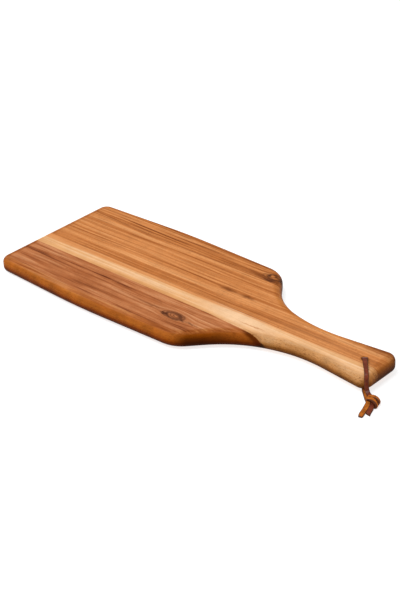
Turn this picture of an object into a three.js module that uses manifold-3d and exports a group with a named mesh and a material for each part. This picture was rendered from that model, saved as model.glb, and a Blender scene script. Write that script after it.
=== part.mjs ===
// A paddle-shaped serving board of four edge-glued hardwood staves, with a flat leather lace
// that runs through a hole in the end of its handle and is tied in a knot.
// Millimetres, +Z up. X runs from the far end to the end of the handle, -Y is the near edge,
// and the origin is under the middle of the board, on the surface that it stands on.
import * as THREE from 'three';
import { mergeVertices } from 'three/addons/utils/BufferGeometryUtils.js';
import Module from 'manifold-3d';

const wasm = await Module();
wasm.setup();

// Board: places along it from the end that each name gives, and half widths from its centre line
const boardLength = 480;
const boardThickness = 18.5;
const edgeRound = 7;
const farEndHalfWidth = 87.2;
const farCornerRadius = 12;
const bowFromFarEnd = 133;
const bowHalfWidth = 93.6;
const bowRadius = 900;
const shoulderHalfWidth = 89.5;
const shoulderRadius = 36.5;
const waistHalfWidth = 19.8;
const handleEndHalfWidth = 30.4;
const handleCornerRadius = 11.8;

// The neck was shaped by hand, so its near and far sides differ by a few millimetres.
const nearShoulderFromHandleEnd = 207;
const nearNeckFromHandleEnd = 159.2;
const nearNeckHalfWidth = 38.9;
const nearNeckRadius = 130;
const nearWaistFromHandleEnd = 93.1;
const nearWaistRadius = 155;
const farShoulderFromHandleEnd = 202.1;
const farNeckFromHandleEnd = 163.5;
const farNeckHalfWidth = 37;
const farNeckRadius = 87;
const farWaistFromHandleEnd = 100.9;
const farWaistRadius = 180;

// Glue lines between the staves, across from the centre line
const frontGlueLine = -32;
const lightGlueLine = -8.5;
const rearGlueLine = 60;

// Lace hole, on the centre line of the handle
const holeFromHandleEnd = 23.3;
const holeDiameter = 7;
const holeMouthRound = 1;

// Lace: flat leather, which lies over the near corner of the handle
const laceWidth = 4.6;
const laceThickness = 2;
const laceClearance = 0.35;
const laceFloorGap = 0.1;
const laceTurn = -48;

// Knot in the lace, out from the hole and to the left, turned towards the tails
const knotFromHole = 52.2;
const knotToLeft = 3.1;
const knotTurn = -25;
const knotHalfWidth = 7.3;
const knotHalfHeight = 3.9;

// Finish of the pieces
const roundSteps = 7;
const arcStep = 7;
const bowSteps = 8;
const holeSides = 32;
const mouthSteps = 3;
const laceStep = 3;
const knotSides = 16;
const knotOpening = 20;
const cutMargin = 5;

const holeX = boardLength - holeFromHandleEnd;
// The lace runs under the handle, so the board stands on its far end and on the lace.
const lift = laceFloorGap + laceThickness + laceClearance;
const lean = Math.asin(lift / (holeX - edgeRound));

function finish(colour, roughness) {
  return new THREE.MeshStandardMaterial({ color: colour, roughness, metalness: 0 });
}

const heartwood = finish('#b5763f', 0.45);
const redHeartwood = finish('#b27048', 0.45);
const sapwood = finish('#f0c08a', 0.45);
const leather = finish('#7a4630', 0.6);

// Booleans on closed geometries
function toSolid(geometry) {
  const bare = geometry.clone();
  bare.deleteAttribute('normal');
  bare.deleteAttribute('uv');
  const merged = mergeVertices(bare, 1e-4);
  return new wasm.Manifold(new wasm.Mesh({
    numProp: 3,
    vertProperties: new Float32Array(merged.attributes.position.array),
    triVerts: new Uint32Array(merged.index.array),
  }));
}

function toGeometry(solid) {
  const mesh = solid.getMesh();
  const geometry = new THREE.BufferGeometry();
  geometry.setAttribute('position', new THREE.BufferAttribute(new Float32Array(mesh.vertProperties), 3));
  geometry.setIndex(new THREE.BufferAttribute(new Uint32Array(mesh.triVerts), 1));
  geometry.computeVertexNormals();
  return geometry;
}

// A corner of an outline, replaced by an arc that is tangent to both of its sides
function roundedCorner(before, corner, after, radius, steps) {
  const back = before.clone().sub(corner).normalize();
  const ahead = after.clone().sub(corner).normalize();
  const half = Math.acos(THREE.MathUtils.clamp(back.dot(ahead), -1, 1)) / 2;
  const centre = corner.clone().addScaledVector(back.clone().add(ahead).normalize(), radius / Math.sin(half));
  const first = corner.clone().addScaledVector(back, radius / Math.tan(half)).sub(centre).angle();
  const last = corner.clone().addScaledVector(ahead, radius / Math.tan(half)).sub(centre).angle();
  const sweep = THREE.MathUtils.euclideanModulo(last - first + Math.PI, 2 * Math.PI) - Math.PI;
  const count = steps ?? Math.max(2, Math.ceil(THREE.MathUtils.radToDeg(Math.abs(sweep)) / arcStep));
  const points = [];
  for (let k = 0; k <= count; k += 1) {
    const angle = first + (sweep * k) / count;
    points.push(centre.clone().add(new THREE.Vector2(Math.cos(angle), Math.sin(angle)).multiplyScalar(radius)));
  }
  return points;
}

// One side of the outline, from the far end to the end of the handle, given by its shoulder, neck and waist
function sideOutline(shoulderPlace, neckPlace, neckHalfWidth, neckRadius, waistPlace, waistRadius) {
  const start = new THREE.Vector2(0, 0);
  const farCorner = new THREE.Vector2(0, farEndHalfWidth);
  const bow = new THREE.Vector2(bowFromFarEnd, bowHalfWidth);
  const shoulder = new THREE.Vector2(boardLength - shoulderPlace, shoulderHalfWidth);
  const neck = new THREE.Vector2(boardLength - neckPlace, neckHalfWidth);
  const waist = new THREE.Vector2(boardLength - waistPlace, waistHalfWidth);
  const handleCorner = new THREE.Vector2(boardLength, handleEndHalfWidth);
  const end = new THREE.Vector2(boardLength, 0);
  return [
    ...roundedCorner(start, farCorner, bow, farCornerRadius),
    ...roundedCorner(farCorner, bow, shoulder, bowRadius, bowSteps),
    ...roundedCorner(bow, shoulder, neck, shoulderRadius),
    ...roundedCorner(shoulder, neck, waist, neckRadius),
    ...roundedCorner(neck, waist, handleCorner, waistRadius),
    ...roundedCorner(waist, handleCorner, end, handleCornerRadius),
  ];
}

// Outline of the board: its near side and its far side
function boardOutline() {
  const near = sideOutline(
    nearShoulderFromHandleEnd,
    nearNeckFromHandleEnd,
    nearNeckHalfWidth,
    nearNeckRadius,
    nearWaistFromHandleEnd,
    nearWaistRadius,
  );
  const far = sideOutline(
    farShoulderFromHandleEnd,
    farNeckFromHandleEnd,
    farNeckHalfWidth,
    farNeckRadius,
    farWaistFromHandleEnd,
    farWaistRadius,
  );
  const mirrored = near.map((point) => new THREE.Vector2(point.x, -point.y));
  return new THREE.Shape([...mirrored, ...far.toReversed()]);
}

// The glued blank, shaped to the outline with all its edges rounded
function boardBlank() {
  const geometry = new THREE.ExtrudeGeometry(boardOutline(), {
    depth: boardThickness - 2 * edgeRound,
    bevelEnabled: true,
    bevelThickness: edgeRound,
    bevelSize: edgeRound,
    bevelOffset: -edgeRound,
    bevelSegments: roundSteps,
  });
  geometry.translate(0, 0, edgeRound);
  return toSolid(geometry);
}

// The hole with its two rounded mouths, as a turned solid to cut away
function holeCutter() {
  const radius = holeDiameter / 2;
  const profile = [new THREE.Vector2(0, -cutMargin), new THREE.Vector2(radius + holeMouthRound, -cutMargin)];
  for (let k = 0; k <= mouthSteps; k += 1) {
    const angle = (Math.PI / 2) * (k / mouthSteps);
    const inset = holeMouthRound * (1 - Math.sin(angle));
    profile.push(new THREE.Vector2(radius + inset, holeMouthRound * (1 - Math.cos(angle))));
  }
  for (let k = mouthSteps; k >= 0; k -= 1) {
    const angle = (Math.PI / 2) * (k / mouthSteps);
    const inset = holeMouthRound * (1 - Math.sin(angle));
    profile.push(new THREE.Vector2(radius + inset, boardThickness - holeMouthRound * (1 - Math.cos(angle))));
  }
  profile.push(new THREE.Vector2(radius + holeMouthRound, boardThickness + cutMargin));
  profile.push(new THREE.Vector2(0, boardThickness + cutMargin));
  const geometry = new THREE.LatheGeometry(profile, holeSides);
  geometry.rotateX(Math.PI / 2);
  geometry.translate(holeX, 0, 0);
  return toSolid(geometry);
}

// A stave is the part of the blank between two glue lines.
function stave(blank, fromY, toY) {
  const length = boardLength + 2 * cutMargin;
  const height = boardThickness + 2 * cutMargin;
  const box = new THREE.BoxGeometry(length, toY - fromY, height);
  box.translate(boardLength / 2, (fromY + toY) / 2, boardThickness / 2);
  return toGeometry(blank.intersect(toSolid(box)));
}

function piece(name, geometry, material) {
  const mesh = new THREE.Mesh(geometry, material);
  mesh.name = name;
  return mesh;
}

// Section of the lace: thickness along its first axis, width along its second, with eased edges
function laceSection() {
  const x = laceThickness / 2;
  const y = laceWidth / 2;
  const ease = laceThickness / 4;
  return new THREE.Shape([
    new THREE.Vector2(x, -y + ease),
    new THREE.Vector2(x, y - ease),
    new THREE.Vector2(x - ease, y),
    new THREE.Vector2(-x + ease, y),
    new THREE.Vector2(-x, y - ease),
    new THREE.Vector2(-x, -y + ease),
    new THREE.Vector2(-x + ease, -y),
    new THREE.Vector2(x - ease, -y),
  ]);
}

// A route whose frames carry the lace's flat side along it without a twist
class LaceRoute extends THREE.CatmullRomCurve3 {
  constructor(points, side) {
    super(points.map((point) => new THREE.Vector3(...point)));
    this.side = side;
  }

  computeFrenetFrames(segments) {
    const tangents = [];
    const normals = [];
    const binormals = [];
    let side = this.side;
    for (let k = 0; k <= segments; k += 1) {
      const tangent = this.getTangentAt(k / segments);
      const normal = side.clone().cross(tangent).normalize();
      side = tangent.clone().cross(normal);
      tangents.push(tangent);
      normals.push(normal);
      binormals.push(side);
    }
    return { tangents, normals, binormals };
  }
}

// A length of lace along its route, with its width along a given side at the start
function laceAlong(points, side) {
  const route = new LaceRoute(points, side);
  const steps = Math.ceil(route.getLength() / laceStep);
  return new THREE.ExtrudeGeometry(laceSection(), { steps, extrudePath: route, bevelEnabled: false });
}

// Routes of the lace, as hand-chosen points: outward from the hole, to the left, and up
const leftward = new THREE.Vector3(0, 1, 0);
const upperRoute = [
  [-0.7, 0, 12.7],
  [-0.7, 0, 15.7],
  [-0.5, 0, 18.9],
  [1.0, -0.1, 21.7],
  [4.0, -0.3, 23.1],
  [8.0, -0.6, 23.4],
  [12.9, -0.8, 23.3],
  [18.2, -0.9, 22.9],
  [23.4, -1.0, 22.55],
  [27.7, -1.1, 22.15],
  [31.3, -1.3, 20.2],
  [33.4, -1.4, 16.9],
  [34.1, -1.4, 13.7],
  [34.4, -1.3, 10.6],
  [35.6, -1.0, 7.6],
  [37.8, -0.4, 5.4],
  [40.4, 0.4, 4.4],
  [42.4, 1.1, 4.15],
  [44.3, 1.8, 4.15],
];
const lowerRoute = [
  [-0.7, 0, 12.2],
  [-0.7, 0, 8],
  [-0.7, 0, 4.4],
  [0.8, -0.1, 1.65],
  [4.4, -0.5, 1.11],
  [8.3, -1.2, 1.12],
  [12.7, -1.8, 1.12],
  [18.2, -2.3, 1.12],
  [24.2, -2.7, 1.12],
  [29.2, -2.8, 1.12],
  [33.7, -2.6, 1.12],
  [37.7, -2.3, 1.15],
  [41.2, -2.1, 1.25],
  [45.1, -1.9, 1.6],
];
const shortTailRoute = [
  [58.1, 2.6, 2.7],
  [63.3, 0.1, 1.45],
  [67.4, -1.8, 1.2],
  [71.4, -3.3, 1.2],
];
const longTailRoute = [
  [55.7, -1.8, 2.8],
  [60.7, -4.3, 1.7],
  [65.6, -6.8, 1.25],
  [70.4, -9.2, 1.2],
  [74.9, -11.1, 1.2],
];

// The knot: two turns side by side around a full middle
function knotBody() {
  const middle = new THREE.SphereGeometry(1, knotSides, knotSides / 2);
  middle.rotateX(Math.PI / 2);
  middle.scale(laceWidth, knotHalfWidth, knotHalfHeight);
  let body = toSolid(middle);
  const outward = new THREE.Vector3(1, 0, 0);
  const opening = THREE.MathUtils.degToRad(knotOpening);
  for (const side of [-1, 1]) {
    const route = [];
    for (let k = 0; k <= knotSides; k += 1) {
      const angle = -Math.PI / 2 + opening + ((2 * Math.PI - 2 * opening) * k) / knotSides;
      route.push([
        (side * laceWidth) / 2,
        (knotHalfWidth - laceThickness / 2) * Math.cos(angle),
        (knotHalfHeight - laceThickness / 2) * Math.sin(angle),
      ]);
    }
    body = body.add(toSolid(laceAlong(route, outward)));
  }
  const geometry = toGeometry(body);
  geometry.rotateZ(THREE.MathUtils.degToRad(knotTurn));
  geometry.translate(knotFromHole, knotToLeft, knotHalfHeight + laceFloorGap);
  return geometry;
}

const blank = boardBlank();
const drilled = blank.subtract(holeCutter());
const widest = bowHalfWidth + cutMargin;

const board = new THREE.Group();
board.add(piece('stave_front', stave(drilled, -widest, frontGlueLine), redHeartwood));
board.add(piece('stave_light', stave(drilled, frontGlueLine, lightGlueLine), sapwood));
board.add(piece('stave_middle', stave(drilled, lightGlueLine, rearGlueLine), heartwood));
board.add(piece('stave_rear', stave(drilled, rearGlueLine, widest), heartwood));
board.children.forEach((mesh) => mesh.geometry.translate(-edgeRound, 0, 0));
board.position.x = edgeRound - boardLength / 2;
board.rotation.y = -lean;

const lace = new THREE.Group();
lace.add(piece('lace_upper', laceAlong(upperRoute, leftward), leather));
lace.add(piece('lace_lower', laceAlong(lowerRoute, leftward), leather));
lace.add(piece('lace_knot', knotBody(), leather));
lace.add(piece('lace_tail_short', laceAlong(shortTailRoute, leftward), leather));
lace.add(piece('lace_tail_long', laceAlong(longTailRoute, leftward), leather));
lace.position.x = holeX - boardLength / 2;
lace.rotation.z = THREE.MathUtils.degToRad(laceTurn);

const servingBoard = new THREE.Group();
servingBoard.add(board, lace);
servingBoard.updateMatrixWorld(true);

export default servingBoard;
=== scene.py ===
import math
from functools import partial

import bmesh
import bpy
from bpy.props import FloatProperty, FloatVectorProperty, PointerProperty
from mathutils import Matrix, Vector, noise
from mathutils.geometry import intersect_point_line


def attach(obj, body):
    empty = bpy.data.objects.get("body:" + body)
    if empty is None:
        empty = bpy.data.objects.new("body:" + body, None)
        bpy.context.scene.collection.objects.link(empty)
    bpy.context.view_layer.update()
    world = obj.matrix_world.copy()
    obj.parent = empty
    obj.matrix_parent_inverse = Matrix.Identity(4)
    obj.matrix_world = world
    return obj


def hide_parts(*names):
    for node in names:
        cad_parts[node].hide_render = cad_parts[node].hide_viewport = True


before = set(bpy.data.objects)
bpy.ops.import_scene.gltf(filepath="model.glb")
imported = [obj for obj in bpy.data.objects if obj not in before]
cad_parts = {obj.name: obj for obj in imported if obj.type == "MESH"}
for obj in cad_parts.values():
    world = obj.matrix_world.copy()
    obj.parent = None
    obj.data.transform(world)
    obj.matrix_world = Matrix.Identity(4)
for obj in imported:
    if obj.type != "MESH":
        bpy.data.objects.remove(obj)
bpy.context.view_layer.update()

bl_info = {
    "name": "Paddle Serving Board",
    "version": (1, 0, 0),
    "blender": (4, 5, 0),
    "location": "View3D > Sidebar > Serving Board",
    "description": "Dresses a paddle serving board of four glued staves and its tied leather lace",
    "category": "Add Mesh",
}

MM = 0.001


def linear(code):
    """Turns an sRGB hex colour into linear red, green and blue."""
    shares = [int(code[k:k + 2], 16) / 255 for k in (1, 3, 5)]
    return tuple(s / 12.92 if s <= 0.04045 else ((s + 0.055) / 1.055) ** 2.4 for s in shares)


def size(name, description, millimetres):
    """A length that a user may change, given in millimetres and kept in metres."""
    return FloatProperty(
        name=name,
        description=description,
        default=millimetres * MM,
        precision=5,
        subtype="DISTANCE",
        unit="LENGTH",
    )


def colour(name, description, code):
    """A colour that a user may change, given as an sRGB hex value and kept linear."""
    return FloatVectorProperty(
        name=name, description=description, default=linear(code), min=0, max=1, subtype="COLOR"
    )


def direction(name, description, degrees):
    """A direction that a user may change, given in degrees and kept in radians."""
    return FloatProperty(
        name=name, description=description, default=math.radians(degrees), subtype="ANGLE"
    )


class BoardSizes(bpy.types.PropertyGroup):
    """Sizes of the board: places along it from the named end, half widths from its centre line"""

    length: size("Length", "From the far end to the end of the handle", 480)
    thickness: size("Thickness", "Thickness of the glued blank", 18.5)
    edge_round: size("Edge round", "Radius of the rounding along all edges", 7)
    far_end: size("Far end", "Half width at the far end", 87.2)
    far_corner: size("Far corner", "Radius of the corners of the far end", 12)
    bow_place: size("Bow place", "Widest place of the blade, from the far end", 133)
    bow: size("Bow", "Half width at the widest place", 93.6)
    bow_radius: size("Bow radius", "Radius of the sides at the widest place", 900)
    shoulder: size("Shoulder", "Half width at the shoulders", 89.5)
    shoulder_radius: size("Shoulder radius", "Radius of the shoulders", 36.5)
    waist: size("Waist", "Half width at the waist of the handle", 19.8)
    near_shoulder_place: size("Near shoulder place", "Near shoulder, from the end of the handle", 207)
    near_neck_place: size("Near neck place", "Near side of the neck, from the end of the handle", 159.2)
    near_neck: size("Near neck", "Half width at the near side of the neck", 38.9)
    near_neck_radius: size("Near neck radius", "Radius of the near hollow of the neck", 130)
    near_waist_place: size("Near waist place", "Near side of the waist, from the end of the handle", 93.1)
    near_waist_radius: size("Near waist radius", "Radius of the near side of the waist", 155)
    far_shoulder_place: size("Far shoulder place", "Far shoulder, from the end of the handle", 202.1)
    far_neck_place: size("Far neck place", "Far side of the neck, from the end of the handle", 163.5)
    far_neck: size("Far neck", "Half width at the far side of the neck", 37)
    far_neck_radius: size("Far neck radius", "Radius of the far hollow of the neck", 87)
    far_waist_place: size("Far waist place", "Far side of the waist, from the end of the handle", 100.9)
    far_waist_radius: size("Far waist radius", "Radius of the far side of the waist", 180)
    handle_end: size("Handle end", "Half width at the end of the handle", 30.4)
    handle_corner: size("Handle corner", "Radius of the corners of the handle", 11.8)
    front_glue: size("Front glue line", "Across, from the centre line", -32)
    light_glue: size("Light glue line", "Across, from the centre line", -8.5)
    rear_glue: size("Rear glue line", "Across, from the centre line", 60)
    hole_place: size("Hole place", "Lace hole, from the end of the handle", 23.3)
    hole: size("Hole", "Diameter of the lace hole", 7)
    hole_mouth: size("Hole mouth", "Radius of the rounding of the hole's mouths", 1)
    lift: size("Lift", "How far the lace under the handle lifts the hole", 2.45)


class LaceSizes(bpy.types.PropertyGroup):
    """Sizes of the lace and its knot"""

    width: size("Width", "Width of the flat lace", 4.6)
    thickness: size("Thickness", "Thickness of the flat lace", 2)
    turn: direction("Turn", "Direction in which the lace leaves the hole, seen from above", -48)
    knot_out: size("Knot out", "Middle of the knot, outward from the hole", 52.2)
    knot_left: size("Knot left", "Middle of the knot, to the left", 3.1)
    knot_turn: direction("Knot turn", "Turn of the tails from the lace's own line, seen from above", -25)


class WoodColours(bpy.types.PropertyGroup):
    """Colours of the oiled wood"""

    heart_deep: colour("Heartwood deep", "Darkest streaks of the heartwood", "#66310E")
    heart_dark: colour("Heartwood dark", "Dark bands of the heartwood", "#A7622F")
    heart_mid: colour("Heartwood", "Body of the heartwood", "#C4804A")
    heart_light: colour("Heartwood light", "Light bands of the heartwood", "#D59A66")
    red_deep: colour("Red heartwood deep", "Darkest lines of the front stave", "#622E15")
    red_dark: colour("Red heartwood dark", "Dark lines of the front stave", "#99572F")
    red_mid: colour("Red heartwood", "Body of the front stave", "#AE6D43")
    red_light: colour("Red heartwood light", "Light lines of the front stave", "#C68B61")
    sap_dark: colour("Sapwood dark", "Lines in the sapwood", "#C28954")
    sap_mid: colour("Sapwood", "Body of the sapwood", "#D29E6B")
    sap_light: colour("Sapwood light", "Light parts of the sapwood", "#E1BB94")
    knot: colour("Knot", "Dark rings of the knots", "#3E1C10")
    lustre: colour("Lustre", "Tint of the light that the oiled fibres throw back", "#FFC27A")
    glue: colour("Glue line", "Thin line of glue between two staves", "#6B3C1E")


class LeatherColours(bpy.types.PropertyGroup):
    """Colours of the leather lace"""

    grain: colour("Grain side", "Dyed and waxed grain side", "#60250E")
    flesh: colour("Flesh side", "Undyed flesh side", "#A25A1E")
    # The cut edge's colour also paints shade along the curving margins of the lace's flat sides
    edge: colour("Cut edge", "Cut edges, darkened by wax and handling", "#4E240D")


class StageSettings(bpy.types.PropertyGroup):
    """Camera, floor and light"""

    lens: FloatProperty(name="Lens", description="Focal length", default=92.54, unit="CAMERA")
    floor: colour("Floor", "Plain pale floor, as it glows", "#F3F3F3")
    floor_dull: colour("Floor unlit", "The same floor by reflected light alone", "#AAAAAA")
    key: FloatProperty(name="Key light", description="Strength of the soft key light", default=2.45)
    glow: FloatProperty(name="Floor glow", description="Light from the table under the floor", default=0.8)
    fill: FloatProperty(name="Fill light", description="Strength of the even light around", default=0.6)


class ServingBoardSettings(bpy.types.PropertyGroup):
    """All settings of the serving board"""

    board: PointerProperty(type=BoardSizes)
    lace: PointerProperty(type=LaceSizes)
    wood: PointerProperty(type=WoodColours)
    leather: PointerProperty(type=LeatherColours)
    stage: PointerProperty(type=StageSettings)


def connect(made, inputs):
    """Links or sets the inputs of a node, which are named or in the node's own order."""
    for name, value in inputs.items() if isinstance(inputs, dict) else enumerate(inputs):
        if isinstance(value, bpy.types.NodeSocket):
            made.id_data.links.new(value, made.inputs[name])
        else:
            made.inputs[name].default_value = value


def add_node(tree, kind, inputs=(), stops=(), **settings):
    """Adds one node with its settings and links, and returns its outputs.

    A list for MapRange is the value, the two ends of its range, and what these two become.
    """
    made = tree.nodes.new("ShaderNode" + kind)
    for name, value in settings.items():
        setattr(made, name, value)
    connect(made, inputs)
    for k, (place, tone) in enumerate(stops):
        elements = made.color_ramp.elements
        element = elements[k] if k < 2 else elements.new(place)
        element.position = place
        element.color = (*tone, 1)
    return made.outputs


def new_material(name):
    """A material, its shader, and the function above for its own nodes."""
    material = bpy.data.materials.new(name)
    material.use_nodes = True
    tree = material.node_tree
    return material, tree.nodes["Principled BSDF"], partial(add_node, tree)


def new_object(name, body, materials=()):
    """A mesh object made from a bmesh, which is freed."""
    mesh = bpy.data.meshes.new(name)
    body.to_mesh(mesh)
    body.free()
    for material in materials:
        mesh.materials.append(material)
    made = bpy.data.objects.new(name, mesh)
    bpy.context.scene.collection.objects.link(made)
    return made


def skin(body, rings, closed=False):
    """Joins rings of points by smooth faces, and returns these faces and those that close the ends."""
    count = len(rings[0])
    spans = []
    for lower, upper in zip(rings, rings[1:] + rings[:1] if closed else rings[1:]):
        for k in range(count):
            n = (k + 1) % count
            spans.append(body.faces.new((lower[k], lower[n], upper[n], upper[k])))
            spans[-1].smooth = True
    ends = [] if closed else [body.faces.new(ring) for ring in (rings[0][::-1], rings[-1])]
    return spans, ends


# Board shape

ARC_STEP = math.radians(2)
ROUND_STEPS = 16
MOUTH_STEPS = 6
HOLE_SIDES = 64
# How far onto the flat top the darker colour of the edge fades out
RIM_FADE = 3 * MM
# Too little to see: tells points on the flat top from those below it
HAIR = 0.01 * MM


def rounded_corner(before, corner, after, radius):
    """A corner of an outline, replaced by an arc that is tangent to both of its sides."""
    back = (before - corner).normalized()
    ahead = (after - corner).normalized()
    half = math.acos(max(-1, min(1, back.dot(ahead)))) / 2
    centre = corner + (back + ahead).normalized() * (radius / math.sin(half))
    first = corner + back * (radius / math.tan(half)) - centre
    last = corner + ahead * (radius / math.tan(half)) - centre
    sweep = math.atan2(first.x * last.y - first.y * last.x, first.dot(last))
    count = max(4, math.ceil(abs(sweep) / ARC_STEP))
    return [centre + Matrix.Rotation(sweep * k / count, 2) @ first for k in range(count + 1)]


def side_outline(sizes, side):
    """The near or the far side, with x from the far end; the neck was shaped by hand, so they differ."""
    end = sizes.length
    names = ("shoulder_place", "neck_place", "neck", "neck_radius", "waist_place", "waist_radius")
    shoulder_place, neck_place, neck, neck_radius, waist_place, waist_radius = (
        getattr(sizes, f"{side}_{name}") for name in names
    )
    corners = [
        (0, 0, 0),
        (0, sizes.far_end, sizes.far_corner),
        (sizes.bow_place, sizes.bow, sizes.bow_radius),
        (end - shoulder_place, sizes.shoulder, sizes.shoulder_radius),
        (end - neck_place, neck, neck_radius),
        (end - waist_place, sizes.waist, waist_radius),
        (end, sizes.handle_end, sizes.handle_corner),
        (end, 0, 0),
    ]
    outline = []
    for before, corner, after in zip(corners, corners[1:], corners[2:]):
        outline += rounded_corner(Vector(before[:2]), Vector(corner[:2]), Vector(after[:2]), corner[2])
    return outline


def board_outline(sizes):
    """Outline of the board, anticlockwise from above."""
    near = [Vector((point.x, -point.y)) for point in side_outline(sizes, "near")]
    return near + side_outline(sizes, "far")[::-1]


def inset_outline(outline, inset):
    """The outline moved inward by a distance."""
    moved = []
    for k, point in enumerate(outline):
        before = (point - outline[k - 1]).normalized()
        after = (outline[(k + 1) % len(outline)] - point).normalized()
        inward = Vector((-(before + after).y, (before + after).x)).normalized()
        lean = inward.dot(Vector((-after.y, after.x)))
        moved.append(point + inward * (inset / lean))
    return moved


def rounding(radius, steps):
    """A quarter round from a face to a side, as distances from the side and from the face."""
    angles = [math.pi / 2 * k / steps for k in range(steps + 1)]
    return [(radius * (1 - math.sin(angle)), radius * (1 - math.cos(angle))) for angle in angles]


def board_blank(sizes):
    """The glued blank with all its edges rounded, as a closed bmesh."""
    outline = board_outline(sizes)
    profile = rounding(sizes.edge_round, ROUND_STEPS)
    profile += [(inset, sizes.thickness - height) for inset, height in profile[::-1]]
    # One more ring on the flat top, where the darker colour of the edge has faded out
    profile.append((sizes.edge_round + RIM_FADE, sizes.thickness))
    body = bmesh.new()
    rings = []
    for inset, height in profile:
        rings.append([body.verts.new((*point, height)) for point in inset_outline(outline, inset)])
    skin(body, rings)
    return body


def hole_cutter(sizes):
    """The hole with its two rounded mouths, as a turned solid to cut away."""
    radius = sizes.hole / 2
    mouth = sizes.hole_mouth
    centre = sizes.length - sizes.hole_place
    profile = [(radius + mouth, -mouth)]
    profile += [(radius + reach, height) for reach, height in rounding(mouth, MOUTH_STEPS)]
    profile += [(reach, sizes.thickness - height) for reach, height in profile[::-1]]
    angles = [2 * math.pi * k / HOLE_SIDES for k in range(HOLE_SIDES)]
    body = bmesh.new()
    rings = []
    for reach, height in profile:
        ring = [(centre + reach * math.cos(angle), reach * math.sin(angle), height) for angle in angles]
        rings.append([body.verts.new(point) for point in ring])
    skin(body, rings)
    return body


def drilled_blank(sizes):
    """The blank with the lace hole drilled, as a mesh."""
    blank = new_object("blank", board_blank(sizes))
    cutter = new_object("drill", hole_cutter(sizes))
    cut = blank.modifiers.new("lace hole", "BOOLEAN")
    cut.object = cutter
    cut.operation = "DIFFERENCE"
    cut.solver = "EXACT"
    graph = bpy.context.evaluated_depsgraph_get()
    mesh = bpy.data.meshes.new_from_object(blank.evaluated_get(graph))
    for spent in (blank, cutter):
        bpy.data.objects.remove(spent)
    return mesh


def standing_place(sizes):
    """Moves the board from its own place to where it stands, on its far end and on the lace."""
    edge = sizes.edge_round
    lean = math.asin(sizes.lift / (sizes.length - sizes.hole_place - edge))
    middle = Matrix.Translation((edge - sizes.length / 2, 0, 0))
    return middle @ Matrix.Rotation(-lean, 4, "Y") @ Matrix.Translation((-edge, 0, 0))


def edge_distance(outline, spot):
    """Distance of a point from the outline, seen from above."""
    least = math.inf
    for k, start in enumerate(outline):
        share = intersect_point_line(spot, start, outline[k - 1])[1]
        foot = start.lerp(outline[k - 1], max(0, min(1, share)))
        least = min(least, (foot - spot).length)
    return least


def stave_body(blank, near, far, sizes):
    """The part of the blank between two glue lines, closed along them, with its rim marked."""
    body = bmesh.new()
    body.from_mesh(blank)
    for across, facing in ((near, -1), (far, 1)):
        if across is None:
            continue
        everything = body.verts[:] + body.edges[:] + body.faces[:]
        cut = bmesh.ops.bisect_plane(
            body,
            geom=everything,
            plane_co=(0, across, 0),
            plane_no=(0, facing, 0),
            clear_outer=True,
        )
        seam = [part for part in cut["geom_cut"] if isinstance(part, bmesh.types.BMEdge)]
        for edge in seam:
            edge.smooth = False
        for face in bmesh.ops.edgeloop_fill(body, edges=seam)["faces"]:
            face.smooth = False
    bmesh.ops.recalc_face_normals(body, faces=body.faces[:])
    outline = board_outline(sizes)
    rim = body.verts.layers.float.new("rim")
    for corner in body.verts:
        corner[rim] = 1
        if corner.co.z > sizes.thickness - HAIR:
            inside = edge_distance(outline, corner.co.xy) - sizes.edge_round
            corner[rim] = 1 - max(0, min(1, inside / RIM_FADE))
    return body


# Wood

# Each pattern is scaled by one over its real length, width and depth in millimetres.

# Height of the serving face above the floor, in millimetres, for which bands and marks are drawn
TOP = 19
# Half height of a mark that runs right through the board, in millimetres
THROUGH = 30
# Start of a border that runs all along the board, beyond its far end, in millimetres
ALL_ALONG = -300
# How far the outlines of marks and of knots wander along, across and up, in millimetres
LOOSE = (13, 7, 4)
FIRM = (7, 3.5, 2)
# The tone that the sides are evened out to, between the darkest at 0 and the lightest at 1
CALM_TONE = 0.55
# How far a border between two woods wavers, and over what length it sets in, in millimetres
BORDER_WAVER = 4
BORDER_START = 8
# By how many rings the late wood wavers along the stave
RING_WAVER = 1.4


def oval(node, origin, centre, halves):
    """Offset from the centre of an oval patch, and distance from it in half sizes of the patch."""
    away = node("VectorMath", [origin, centre], operation="SUBTRACT")[0]
    shares = tuple(1 / half for half in halves)
    flat = node("VectorMath", [away, shares], operation="MULTIPLY")[0]
    return away, node("VectorMath", [flat], operation="LENGTH")["Value"]


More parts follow.
